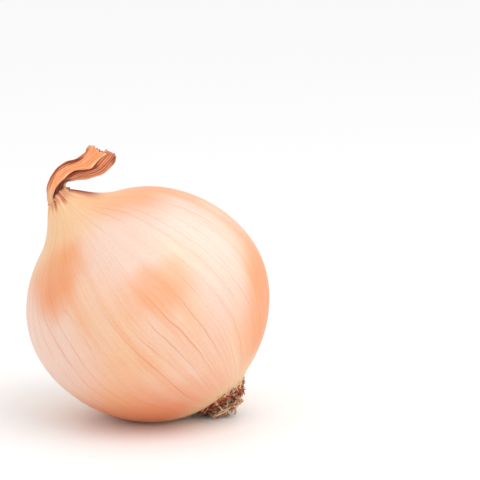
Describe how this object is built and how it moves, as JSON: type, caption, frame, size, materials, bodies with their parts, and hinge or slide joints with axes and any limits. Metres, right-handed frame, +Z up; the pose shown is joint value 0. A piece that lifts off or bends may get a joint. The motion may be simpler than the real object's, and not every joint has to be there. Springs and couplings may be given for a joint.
{
  "type": "onion",
  "caption": "Round bulb in papery skin lying on its side, with withered leaves folded over at the neck and a tuft of dry roots at the base.",
  "frame": {"origin": "middle of the small flat spot that the bulb rests on", "axes": "+Z up; the onion's own axis leans from +Z towards -X, so the neck is at the upper -X end and the roots at the lower +X end; -Y is the side that faces a viewer in front"},
  "size_m": [0.0786, 0.078, 0.0896],
  "materials": {
    "skin": "satin",
    "husk": "matte",
    "torn_skin": "matte",
    "root_plate": "matte",
    "root": "matte"
  },
  "bodies": {
    "root": {"bulb": "skin", "neck_outer_leaf": "husk", "neck_inner_leaf": "husk", "torn_skin_rim": "torn_skin", "root_plate": "root_plate", "root_01": "root", "root_02": "root", "root_03": "root", "root_04": "root", "root_05": "root", "root_06": "root", "root_07": "root", "root_08": "root", "root_09": "root", "root_10": "root", "root_11": "root", "root_12": "root", "root_13": "root", "root_14": "root", "root_15": "root", "root_16": "root", "root_17": "root", "root_18": "root", "root_19": "root", "root_20": "root", "root_21": "root", "root_22": "root", "root_23": "root", "root_24": "root", "root_25": "root", "root_26": "root", "root_27": "root", "root_28": "root", "root_29": "root", "root_30": "root"}
  },
  "joints": []
}
